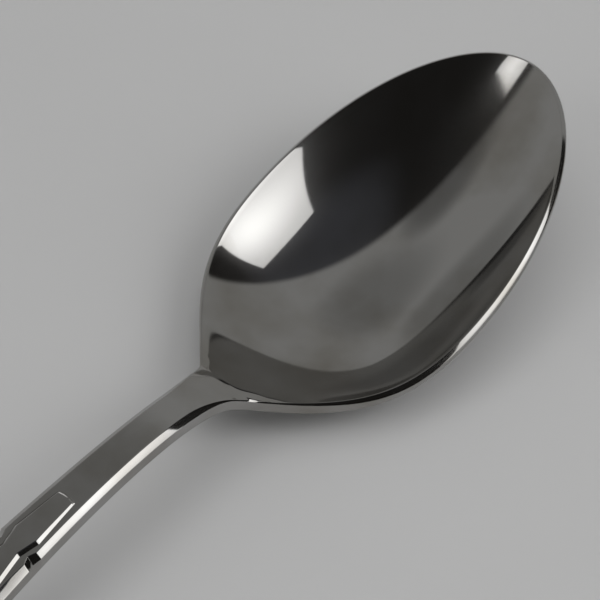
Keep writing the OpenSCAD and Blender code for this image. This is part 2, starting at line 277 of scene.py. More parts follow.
class Spoon:
    """The spoon's surfaces as formulas, in metres.

    u is the distance along X from the crease behind the bowl towards the tip, and q the same towards the
    handle's end. Heights are measured from the lip halfway along the bowl. A station holds u at the middle,
    then u and half width at the inner edge of the lip or bevel and at its outer edge.
    """

    # Powers: how late the lip climbs, how sharply the handle stops widening and the upright edge thins
    RISE_LATE = 2.5
    SWELL_SHARP = 6
    EDGE_SHARP = 4

    # Lengths over which one form turns into the next
    UNDER_BLEND = 6 * MM
    DISH_BLEND = 12 * MM
    ROOT_FADE = 4 * MM
    EDGE_LEN = 11 * MM
    BEVEL_FADE = 9 * MM
    BEVEL_GROW = 8 * MM
    CROWN_REACH = 17 * MM

    # Places between which the lip and the bevel thin out at the shoulders, and widen again in front of them
    THIN_BACK = (-9.5 * MM, -1 * MM)
    THIN_FRONT = (-1 * MM, 19 * MM)

    # The waist's distance behind the nicks, and its length to where the panel is wide again
    WAIST_LAG = 0.7 * MM
    WAIST_LEN = 4.3 * MM

    # Softness of the nicks' bottoms and brims, and the most of a surface that a rounded edge may take
    NICK_SOFT = 0.012 * MM
    MOST_TRIM = 0.25
    MOST_REACH = 0.4

    # Rows along the spoon, packed closer at the shoulders and at the nicks
    END_ROWS = 48
    TERMINAL_ROWS = 64
    STEM_BACK_ROWS = 60
    NICK_ROWS = 81
    NICK_DENSE = 1.6
    STEM_FRONT_ROWS = 40
    NECK_ROWS = 60
    ROOT_ROWS = 36
    SIDE_ROWS = 96
    SIDE_DENSE = 1.5
    FRONT_ROWS = 120

    # Places where the bowl's lowest point is sought, and points round half a ring
    FLOOR_PLACES = 2000
    TOP_POINTS = 48
    ROUND_POINTS = 8
    UNDER_POINTS = 34

    def __init__(self, sizes):
        n = self.n = sizes
        self.crease_x = CAD_BOX[1].x - n.bowl_len
        self.handle_len = n.overall_len - n.bowl_len
        self.hollow_end = n.bowl_len - n.lip
        self.flat_from = self.handle_len - n.end_flat
        self.round_from = self.handle_len - n.end_round
        self.cuts = [self.crease_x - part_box(node)[0].x for node in ("stem", "neck", "bowl")]
        rim_back, rim_tip = self.rim_z(0.0), self.rim_z(self.hollow_end)
        self.keel = [
            np.array([0, rim_back + n.crown]),
            np.array([0, rim_back + n.crown]) + polar(n.back_len, -n.back_angle),
            np.array([self.hollow_end, rim_tip]) - polar(n.tip_len, n.tip_angle),
            np.array([self.hollow_end, rim_tip]),
        ]
        self.crown_late = (n.neck_slope - math.tan(n.back_angle)) * self.CROWN_REACH / n.crown
        self.root_wall = n.stem_t / math.hypot(1, self.keel_slope(np.array(0.0)))
        below_hollow = np.linspace(self.UNDER_BLEND, self.hollow_end, self.FLOOR_PLACES)
        self.floor_z = self.under_bowl(below_hollow).min()
        self.neck_top = rim_back + n.neck_slope * n.neck_len

    def rim_z(self, u):
        """Height of the lip, which is tilted, sags and climbs to the neck."""
        n = self.n
        middle = n.bowl_len / 2
        tilt = math.tan(n.rim_tilt) * (u - middle)
        sag = n.rim_sag * ((u - middle) / middle) ** 2
        climb = n.neck_rise * np.maximum(0, (n.rise_len - u) / n.rise_len) ** self.RISE_LATE
        return tilt + sag + climb

    def keel_z(self, u):
        """Height of the hollow along its middle."""
        return curve(self.keel, curve_t(self.keel, u))[..., 1]

    def keel_slope(self, u):
        d = curve_dir(self.keel, curve_t(self.keel, u))
        return d[..., 1] / d[..., 0]

    def hollow(self, u):
        """Depth of the hollow below the lip; on the crowned neck it is less than nothing."""
        crown = self.n.crown * np.maximum(0, 1 + u / self.CROWN_REACH) ** self.crown_late
        crowned = self.handle_top(u) + crown
        middle = np.where(u > 0, self.keel_z(np.clip(u, 0, self.hollow_end)), crowned)
        return np.where(u < self.hollow_end, self.top_z(u) - middle, 0)

    def under_bowl(self, u):
        """Height of the bowl's underside along its middle."""
        v = np.clip(u, 0, self.hollow_end)
        slope = self.keel_slope(v)
        thick = mix(self.n.wall, self.root_wall, np.exp(-v / self.ROOT_FADE))
        return self.keel_z(v) + slope * (u - v) - thick * np.hypot(1, slope)

    def handle_top(self, u):
        """Height of the handle's top, which levels out behind the neck and falls to the table."""
        n = self.n
        turn = math.pi / 2 * np.clip(-u / self.flat_from, 0, 1)
        fall = (self.neck_top - self.floor_z - n.end_t) * np.sin(turn) ** n.fall_late
        level = n.neck_slope * n.neck_len
        dip = np.where(u > 0, level + n.neck_slope * u, level * np.exp(u.clip(max=0) / n.neck_len))
        return self.neck_top - fall - dip

    def top_z(self, u):
        """Height of the top of the handle and, in front of the crease, of the lip."""
        return mix(self.handle_top(u), self.rim_z(u), ease(u / self.n.neck_round + 0.5))

    def handle_t(self, u):
        """Thickness of the handle."""
        n = self.n
        return mix(n.stem_t, n.end_t, ease((-u - n.thin_from) / (self.flat_from - n.thin_from)))

    def under_z(self, u):
        """Height of the whole underside along its middle."""
        return mix(self.top_z(u) - self.handle_t(u), self.under_bowl(u), ease(u / self.UNDER_BLEND))

    def handle_half(self, u):
        """Half width of the handle, which flares to the shoulders and swells to the end."""
        n = self.n
        v = np.clip(-u / self.round_from, 0, 1)
        swell = v**n.swell_late * (1 + n.swell_late / self.SWELL_SHARP * (1 - v**self.SWELL_SHARP))
        flare = (n.root_w - n.stem_w) / 2 * np.exp((u - n.root_at) / n.flare_len)
        return n.stem_w / 2 + flare + (n.end_w - n.stem_w) / 2 * swell

    def edge_share(self, u):
        """Share of the width and drop of the lip and the bevel, which thin out at the shoulders."""
        back, front = ((u - span[0]) / (span[1] - span[0]) for span in (self.THIN_BACK, self.THIN_FRONT))
        return mix(1, self.n.shoulder_edge, ease(back) * (1 - ease(front)))

    def lip_w(self, u):
        return self.n.lip * self.edge_share(u)

    def bevel(self, u):
        """Width of the bevel along the handle's edges."""
        n = self.n
        wide = mix(n.bevel_w, n.bevel_end_w, ease((-u - n.nick_at + n.nick_len) / self.BEVEL_GROW))
        return wide * self.edge_share(u)

    def edge_drop(self, u):
        """Drop from the inner to the outer edge of the bevel and the lip."""
        return mix(self.n.bevel_h, self.n.lip_drop, ease(u / self.BEVEL_FADE)) * self.edge_share(u)

    def edge_h(self, u):
        """Height of the upright edge below the bevel and the lip."""
        n = self.n
        root = n.stem_t - n.bevel_h - n.base_h
        bowl = mix(n.lip_edge, root, 1 / (1 + (np.maximum(u, 0) / self.EDGE_LEN) ** self.EDGE_SHARP))
        return np.where(u > 0, bowl, self.handle_t(u) - n.bevel_h - n.base_h)

    def nick(self, u):
        """Share of the nick's depth, a V with its bottom and brims slightly rounded."""
        n = self.n
        off = np.hypot(u + n.nick_at, self.NICK_SOFT) * 2 / n.nick_len
        soft = 2 * self.NICK_SOFT / n.nick_len
        return soft * np.logaddexp(0, (1 - off) / soft)

    def lip_stations(self, p, t, bow):
        """Stations along a cubic outline; the middle lies a bow behind the lip's inner edge."""
        outer, d = curve(p, t), unit(curve_dir(p, t))
        inner = outer + self.lip_w(outer[:, :1]) * np.stack([d[:, 1], -d[:, 0]], axis=-1)
        return np.column_stack([inner[:, 0] - bow, inner, outer])

    def bowl_stations(self):
        """Stations from the neck to the shoulder corners, along the sides and round the tip."""
        n = self.n
        corner = np.array([n.root_at, n.root_w / 2])
        widest = np.array([n.wide_at, n.bowl_w / 2])
        tip = np.array([n.bowl_len, 0])
        back = [corner, corner + polar(n.back_full, n.shoulder_angle), widest - [n.side_full, 0], widest]
        front = [widest, widest + [n.front_full, 0], tip + [0, n.tip_full], tip]
        root_lip = self.lip_w(n.root_at)
        lead = root_lip * math.sin(n.shoulder_angle)

        t = np.linspace(0, 1, self.ROOT_ROWS)[:-1]
        u = mix(-self.cuts[2], n.root_at, t)
        w = self.handle_half(u)
        turned = t * t
        inner_w = w - mix(self.bevel(u), root_lip * math.cos(n.shoulder_angle), turned)
        root = np.column_stack([u - turned * n.root_at, u + turned * lead, inner_w, u, w])

        t = np.linspace(0, 1, self.SIDE_ROWS) ** self.SIDE_DENSE
        sides = self.lip_stations(back, t, (n.root_at + lead) * (1 - ease(2 * t)))
        rounded = self.lip_stations(front, np.linspace(0, 1, self.FRONT_ROWS)[1:], 0)
        return np.concatenate([root, sides, rounded])

    def handle_stations(self, q):
        w = self.handle_half(-q)
        return np.column_stack([-q, -q, w - self.bevel(-q), -q, w])

    def end_stations(self):
        """Stations of the handle's rounded end, half an ellipse."""
        n = self.n
        turn = np.linspace(math.pi / 2, 0, self.END_ROWS)
        w = self.handle_half(-self.round_from)
        outer = np.column_stack([-self.round_from - n.end_round * np.sin(turn), w * np.cos(turn)])
        outer[0, 1] = 0
        normal = unit(np.column_stack([-w * np.sin(turn), n.end_round * np.cos(turn)]))
        inner = outer - n.bevel_end_w * normal
        inner[0, 1] = 0
        return np.column_stack([inner[:, 0], inner, outer])

    def zones(self):
        """Stations from the handle's end to the tip, and the rows where each zone starts and ends."""
        n = self.n
        stem_cut, neck_cut, bowl_cut = self.cuts
        terminal_q = np.linspace(self.round_from, stem_cut, self.TERMINAL_ROWS)[1:]
        along = np.linspace(1, -1, self.NICK_ROWS)
        nick_q = n.nick_at + n.nick_len * np.sign(along) * np.abs(along) ** self.NICK_DENSE
        stem_back_q = np.linspace(stem_cut, nick_q[0], self.STEM_BACK_ROWS)[1:-1]
        stem_front_q = np.linspace(nick_q[-1], neck_cut, self.STEM_FRONT_ROWS)[1:]
        neck_q = np.linspace(neck_cut, bowl_cut, self.NECK_ROWS)[1:]
        runs = {
            "terminal": np.concatenate([self.end_stations(), self.handle_stations(terminal_q)]),
            "stem": self.handle_stations(np.concatenate([stem_back_q, nick_q, stem_front_q])),
            "neck": self.handle_stations(neck_q),
            "bowl": self.bowl_stations()[1:],
        }
        ends = np.cumsum([len(run) for run in runs.values()])
        starts = np.concatenate([[0], ends[:-1] - 1])
        rows = {zone: (start, end) for zone, start, end in zip(runs, starts, ends)}
        return np.concatenate(list(runs.values())), rows

    def rings(self, stations):
        """Closed rings of points round the spoon, one at each station, starting at the middle of the top."""
        n = self.n
        mid, u_in, w_in, u_out, w_out = stations.T
        cut = n.nick_depth * self.nick(u_out)
        crisp = n.edge_round * self.edge_share(u_out)
        blunt = mix(crisp, n.lip_round, ease(u_out / self.BEVEL_FADE))
        depth = self.hollow(mid)
        low_z = self.top_z(u_out) - self.edge_drop(u_out) - self.edge_h(u_out)
        dished = ease((u_out + self.cuts[2]) / (self.cuts[2] + self.DISH_BLEND))

        def dish(s):
            return (1 - s * s) * (1 + n.wall_full * s * s)

        def top(s):
            """Points of the top, with s from 0 at the middle to 1 at the lip or bevel."""
            u = mix(mid, u_in, s * s)
            return points(u, s * (w_in - cut), self.top_z(u) - depth * dish(s))

        def under(s):
            """Points of the underside, with s from 0 at the middle to 1 at the lower edge."""
            share = mix(slab(s), dish(s), dished)
            return points(u_out, s * w_out, low_z - (low_z - self.under_z(u_out)) * share)

        def trim(surface):
            """How far before its edge a surface stops, to leave room for the rounding."""
            step = 0.01
            speed = np.linalg.norm(surface(1.0) - surface(1 - step), axis=-1) / step
            return np.minimum(self.MOST_TRIM, crisp / np.maximum(speed, TINY))

        def towards(a, b, reach):
            """A point near a on the way to b, where the rounding of the edge at a ends."""
            gap = np.linalg.norm(b - a, axis=-1, keepdims=True)
            return a + (b - a) * np.minimum(self.MOST_REACH, reach[:, None] / np.maximum(gap, TINY))

        def rounding(before, corner, after):
            for t in np.linspace(0, 1, self.ROUND_POINTS):
                yield before * (1 - t) ** 2 + corner * 2 * t * (1 - t) + after * t * t

        inner = top(1.0)
        outer = points(u_out, w_out - cut, self.top_z(u_out) - self.edge_drop(u_out) - cut)
        low = under(1.0)
        top_to, under_from = 1 - trim(top), 1 - trim(under)
        half = [top(top_to * t) for t in np.linspace(0, 1, self.TOP_POINTS)[:-1]]
        half += rounding(top(top_to), inner, towards(inner, outer, crisp))
        half.append((inner + outer) / 2)
        half += rounding(towards(outer, inner, blunt), outer, towards(outer, low, blunt))
        half.append((outer + low) / 2)
        half += rounding(towards(low, outer, crisp), low, under(under_from))
        half += [under(np.sin(np.arcsin(under_from) * t)) for t in np.linspace(1, 0, self.UNDER_POINTS)[1:]]
        half = np.stack(half, axis=1)
        mirrored = half[:, -2:0:-1] * [1, -1, 1]
        return np.concatenate([half, mirrored], axis=1)

    def panel_half(self, q):
        """Half width of the foot of the raised panel, up to where its end starts to round."""
        n = self.n
        waist = n.nick_at + self.WAIST_LAG
        edge = self.handle_half(-q) - self.bevel(-q) - n.panel_gap
        waist_to = waist + self.WAIST_LEN
        waist_edge = self.handle_half(-waist_to) - self.bevel(-waist_to) - n.panel_gap
        stops = [n.panel_from, n.nick_at - n.nick_len, waist, waist_to]
        widths = [n.panel_front_w / 2, n.panel_mid_w / 2, n.panel_waist_w / 2, waist_edge]
        return np.where(q < waist_to, np.interp(q, stops, widths), edge)

    def placed(self, p):
        """Points on the table, with the middle of the spoon over the origin."""
        return p + [self.crease_x, 0, -self.floor_z]


def slopes(grid, axis):
    """Directions along one axis of a grid of points, exact for even curves and uneven spacing."""
    step = np.diff(grid, axis=axis)
    size = np.maximum(np.linalg.norm(step, axis=-1, keepdims=True), TINY)
    direction = step / size
    first = [slice(None)] * grid.ndim
    last = [slice(None)] * grid.ndim
    first[axis], last[axis] = slice(0, 1), slice(-1, None)
    before = np.concatenate([direction[tuple(first)], direction], axis=axis)
    after = np.concatenate([direction, direction[tuple(last)]], axis=axis)
    size_before = np.concatenate([size[tuple(first)], size], axis=axis)
    size_after = np.concatenate([size, size[tuple(last)]], axis=axis)
    return before * size_after + after * size_before


def grid_normals(grid, closed):
    """Unit normals of a grid of points; rows without width take them from their neighbour."""
    if closed:
        around = slopes(np.concatenate([grid[:, -1:], grid, grid[:, :1]], axis=1), 1)[:, 1:-1]
    else:
        around = slopes(grid, 1)
    normals = unit(np.cross(unit(slopes(grid, 0)), unit(around)))
    for row, neighbour in ((0, 1), (-1, -2)):
        lost = np.linalg.norm(normals[row], axis=-1) < 0.5
        normals[row][lost] = normals[neighbour][lost]
    return normals


def quads(rows, cols, closed):
    """Corner numbers of the cells of a grid, facing out."""
    i, j = np.meshgrid(np.arange(rows - 1), np.arange(cols if closed else cols - 1), indexing="ij")
    following = (j + 1) % cols
    row, next_row = i * cols, (i + 1) * cols
    return np.stack([row + j, next_row + j, next_row + following, row + following], -1).reshape(-1, 4)


def skin(name, co, normals, faces, flat_faces, material, digits=8):
    """A mesh object from points with their normals; points alike to so many digits become one."""
    _, index, inverse = np.unique(np.round(co, digits), axis=0, return_index=True, return_inverse=True)
    inverse = inverse.reshape(-1)
    shared = np.zeros((len(index), 3))
    np.add.at(shared, inverse, normals)
    shared = unit(shared)
    kept, is_flat = [], []
    for group, flat in ((faces, False), (flat_faces, True)):
        for face in group:
            corners = [int(c) for k, c in enumerate(inverse[face]) if c != inverse[face[k - 1]]]
            if len(set(corners)) >= 3:
                kept.append(corners)
                is_flat.append(flat)
    mesh = bpy.data.meshes.new(name)
    mesh.from_pydata(co[index].tolist(), [], kept)
    mesh.polygons.foreach_set("use_smooth", [not flat for flat in is_flat])
    counts = [len(corners) for corners in kept]
    corner_normals = np.concatenate([shared[corners] for corners in kept])
    face_normals = np.repeat([polygon.normal for polygon in mesh.polygons], counts, axis=0)
    on_flat = np.repeat(is_flat, counts)
    corner_normals[on_flat] = face_normals[on_flat]
    mesh.normals_split_custom_set(corner_normals.tolist())
    mesh.materials.append(material)
    obj = bpy.data.objects.new(name, mesh)
    bpy.context.scene.collection.objects.link(obj)
    return obj


def zone_skin(context, zone):
    """The polished skin of one zone, closed at its cuts and shaded as part of the whole spoon."""
    spoon = Spoon(context.scene.spoon_sizes)
    stations, rows = spoon.zones()
    grid = spoon.placed(spoon.rings(stations))
    normals = grid_normals(grid, closed=True)
    first, last = rows[zone]
    grid, normals = grid[first:last], normals[first:last]
    count, cols = grid.shape[:2]
    caps = []
    if first > 0:
        caps.append(np.arange(cols))
    if last < len(stations):
        caps.append((count - 1) * cols + np.arange(cols)[::-1])
    faces = quads(count, cols, closed=True)
    steel = polished_steel(context.scene)
    obj = skin(zone + "_skin", grid.reshape(-1, 3), normals.reshape(-1, 3), faces, caps, steel)
    return dressed(obj, zone)


def dressed(obj, node):
    """A skin takes its node's place and moves with the spoon."""
    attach(obj, "root")
    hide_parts(node)
    return obj


def add(tree, kind, inputs=None, **settings):
    """A node with its settings, and its inputs set to values or linked to sockets."""
    made = tree.nodes.new(kind)
    for name, value in settings.items():
        setattr(made, name, value)
    for name, value in (inputs or {}).items():
        if isinstance(value, bpy.types.NodeSocket):
            tree.links.new(value, made.inputs[name])
        else:
            made.inputs[name].default_value = value
    return made


def new_material(name):
    """An empty node material, with its tree and its output node."""
    material = bpy.data.materials.new(name)
    material.use_nodes = True
    material.node_tree.nodes.clear()
    return material, material.node_tree, add(material.node_tree, "ShaderNodeOutputMaterial")


# Noise at which the steel starts to look hazy and is fully so
HAZE_SPAN = {"From Min": 0.42, "From Max": 0.72}

# Hairlines run along the spoon: how far their noise is stretched, and the roughness that they add at most
HAIRLINE_STRETCH = 0.03
HAIRLINE_ROUGH = 0.03


def polished_steel(scene):
    """Stainless steel, struck, buffed to a mirror and used.

    The eye gets sharp, slightly wavy reflections, hazy patches where it was wiped, fine hairlines, and a
    soft glow round bright reflections where use has scuffed it, more in the bowl than on the handle.
    """
    name = "stainless_steel_mirror_polished"
    if name in bpy.data.materials:
        return bpy.data.materials[name]
    look, sizes = scene.spoon_steel, scene.spoon_sizes
    material, tree, output = new_material(name)
    place = add(tree, "ShaderNodeTexCoord").outputs["Object"]

    patches = add(tree, "ShaderNodeTexNoise", {"Vector": place, "Scale": 1 / look.haze_size, "Detail": 4.0})
    hazy = add(tree, "ShaderNodeMapRange", {"Value": patches.outputs["Fac"], **HAZE_SPAN})
    stain = add(
        tree,
        "ShaderNodeMix",
        {"Factor": hazy.outputs["Result"], "A": (*look.bright, 1), "B": (*look.dull, 1)},
        data_type="RGBA",
    )
    rough = add(
        tree,
        "ShaderNodeMapRange",
        {"Value": hazy.outputs["Result"], "To Min": look.gloss, "To Max": look.haze},
    )

    # Real hairlines are finer than these, which are as coarse as they need to be to show
    along = add(tree, "ShaderNodeMapping", {"Vector": place, "Scale": (HAIRLINE_STRETCH, 1.0, 1.0)})
    lines = add(
        tree,
        "ShaderNodeTexNoise",
        {"Vector": along.outputs["Vector"], "Scale": 1 / look.hairline, "Detail": 2.0},
    )
    rougher = add(
        tree,
        "ShaderNodeMath",
        {0: lines.outputs["Fac"], 1: HAIRLINE_ROUGH, 2: rough.outputs["Result"]},
        operation="MULTIPLY_ADD",
    )

    waves = add(tree, "ShaderNodeTexNoise", {"Vector": place, "Scale": 1 / look.ripple_size, "Detail": 1.0})
    height = waves.outputs["Fac"]
    bump = add(tree, "ShaderNodeBump", {"Height": height, "Distance": look.ripple, "Strength": 1.0})
    steel = add(
        tree,
        "ShaderNodeBsdfPrincipled",
        {
            "Base Color": stain.outputs["Result"],
            "Metallic": 1.0,
            "Roughness": rougher.outputs["Value"],
            "Normal": bump.outputs["Normal"],
        },
    )

    scuffed = add(
        tree,
        "ShaderNodeBsdfPrincipled",
        {"Base Color": stain.outputs["Result"], "Metallic": 1.0, "Roughness": look.scuff_rough},
    )
    crease_x = CAD_BOX[1].x - sizes.bowl_len
    axes = add(tree, "ShaderNodeSeparateXYZ", {"Vector": place})
    used = add(
        tree,
        "ShaderNodeMapRange",
        {
            "Value": axes.outputs["X"],
            "From Min": crease_x,
            "From Max": crease_x + sizes.rise_len,
            "To Min": look.scuff_handle,
            "To Max": look.scuff,
        },
    )
    worn = add(
        tree,
        "ShaderNodeMixShader",
        {0: used.outputs["Result"], 1: steel.outputs["BSDF"], 2: scuffed.outputs["BSDF"]},
    )
    tree.links.new(worn.outputs["Shader"], output.inputs["Surface"])
    return material


class SpoonOperator:
    """What the operators share."""

    bl_options = {"REGISTER", "UNDO"}


class SPOON_OT_bowl(SpoonOperator, bpy.types.Operator):
    """Build the egg-shaped bowl with its lip and shoulders"""

    bl_idname = "spoon.bowl"
    bl_label = "Bowl"

    def execute(self, context):
        zone_skin(context, "bowl")
        return {"FINISHED"}


class SPOON_OT_neck(SpoonOperator, bpy.types.Operator):
    """Build the curved neck that climbs out of the bowl"""

    bl_idname = "spoon.neck"
    bl_label = "Neck"

    def execute(self, context):
        zone_skin(context, "neck")
        return {"FINISHED"}


class SPOON_OT_stem(SpoonOperator, bpy.types.Operator):
    """Build the stem with its bevels and nicks"""

    bl_idname = "spoon.stem"
    bl_label = "Stem"

    def execute(self, context):
        zone_skin(context, "stem")
        return {"FINISHED"}


class SPOON_OT_terminal(SpoonOperator, bpy.types.Operator):
    """Build the wide rounded end of the handle"""

    bl_idname = "spoon.terminal"
    bl_label = "Terminal"

    def execute(self, context):
        zone_skin(context, "terminal")
        return {"FINISHED"}


def rounded_ramp(x, soft):
    """A straight rise through 0 at x = 0 to 1 at x = 1, with its top rounded."""
    over = x - 1
    return x - np.where(over > soft, over, np.maximum(0, over + soft) ** 2 / (4 * soft))


class SPOON_OT_panel(SpoonOperator, bpy.types.Operator):
    """Build the raised panel with its waist, struck on top of the handle"""

    bl_idname = "spoon.panel"
    bl_label = "Panel"

    # The bevel starts FOOT outside the outline, sunk in the handle, and the hidden bed lies BED deep
    FOOT = 0.1 * MM
    BED = 0.25 * MM

    # The flat top starts INSET bevel widths inside; its brim and the bevel's corners are softened
    INSET = 1.4
    SOFT_SHARE = 0.25
    CORNER_SOFT = 0.03 * MM

    # The front edge's bulge fades over a length, and the bead on it has a place and a half width
    BULGE_FADE = 4 * MM
    BEAD_AT = 0.38 * MM
    BEAD_HALF = 0.08 * MM

    # Rows from front to end; those of the waist reach from in front of the nicks to behind, in nick lengths
    WAIST_REACH = (2, 3)
    RAMP_ROWS = 26
    FRONT_ROWS = 20
    WAIST_ROWS = 60
    BODY_ROWS = 70
    END_ROWS = 40
    FLAT_COLUMNS = 12

    def execute(self, context):
        spoon = Spoon(context.scene.spoon_sizes)
        halves = self.half_grids(spoon)
        wholes = (np.concatenate([half[:, :-1], half[:, ::-1] * [1, -1, 1]], axis=1) for half in halves)
        top, bed = (spoon.placed(whole)[:, ::-1] for whole in wholes)
        rows, cols = top.shape[:2]
        normals = grid_normals(top, closed=False)
        down = np.zeros_like(normals)
        down[..., 2] = -1
        below = rows * cols
        cells = quads(rows, cols, closed=False)[:, ::-1]
        obj = skin(
            "panel_skin",
            np.concatenate([top.reshape(-1, 3), bed.reshape(-1, 3)]),
            np.concatenate([-normals.reshape(-1, 3), down.reshape(-1, 3)]),
            np.concatenate([cells, cells[:, ::-1] + below, self.walls(rows, cols)]),
            [],
            polished_steel(context.scene),
        )
        dressed(obj, "panel")
        return {"FINISHED"}

    def half_grids(self, spoon):
        """Points of the panel's top and bed on the side of +Y, in rows from its front to its end."""
        n = spoon.n
        inset = self.INSET * n.panel_bevel
        ramp = np.linspace(-self.FOOT, inset, self.RAMP_ROWS)
        front_q = n.panel_from + ramp
        waist_from, waist_to = n.nick_at + n.nick_len * np.array([-1, 1]) * self.WAIST_REACH
        round_from = spoon.handle_len - n.panel_end_gap - n.panel_end_round
        body_q = np.concatenate(
            [
                np.linspace(front_q[-1], waist_from, self.FRONT_ROWS)[1:],
                np.linspace(waist_from, waist_to, self.WAIST_ROWS)[1:],
                np.linspace(waist_to, round_from, self.BODY_ROWS)[1:],
            ]
        )
        turn = np.linspace(0, math.pi / 2, self.END_ROWS)[1:]
        q = np.concatenate([front_q, body_q, np.full_like(turn, round_from)])[:, None]
        turn = np.concatenate([np.zeros(len(front_q) + len(body_q)), turn])[:, None]
        cos, sin = np.cos(turn), np.sin(turn)
        cos[-1] = 0

        half = spoon.panel_half(np.maximum(q, n.panel_from))
        side = np.concatenate([ramp, np.full(self.FLAT_COLUMNS, inset)])[None]
        inward = np.concatenate([np.ones_like(ramp), np.linspace(1, 0, self.FLAT_COLUMNS + 1)[1:]])
        y = (half - side) * inward * cos
        q = q + (n.panel_end_round - side) * sin
        bulge = n.panel_bulge * (1 - ease((q - n.panel_from) / self.BULGE_FADE))
        u = -q + bulge * (1 - np.minimum(1, y / half) ** 2)

        rise = mix(n.panel_front_h / n.panel_h, 1, ease((q - n.panel_from) / n.panel_rise))
        depth = soft_min(q - n.panel_from, side, self.CORNER_SOFT)
        height = n.panel_h * rise * rounded_ramp(depth / (n.panel_bevel * rise), self.SOFT_SHARE)
        bead = np.exp(-(((q - n.panel_from - self.BEAD_AT) / self.BEAD_HALF) ** 2))
        height = height + n.panel_bead * bead * ease(side / n.panel_bevel)
        surface = spoon.top_z(u)
        return points(u, y, surface + height), points(u, y, surface - self.BED)

    def walls(self, rows, cols):
        """Faces from the top's rim to the bed's; the last row has none, as it closes on the middle."""
        index = np.arange(rows * cols).reshape(rows, cols)
        rim = np.concatenate([index[:0:-1, 0], index[0, :-1], index[:, -1]])
        before, after = rim[:-1], rim[1:]
        below = rows * cols
        return np.stack([after, before, before + below, after + below], axis=-1)


def towards_sky(azimuth, elevation):
    """The unit vector to a place round the spoon, with the azimuth from +X towards +Y, both in degrees."""
    a, e = math.radians(azimuth), math.radians(elevation)
    return np.array([math.cos(a) * math.cos(e), math.sin(a) * math.cos(e), math.sin(e)])


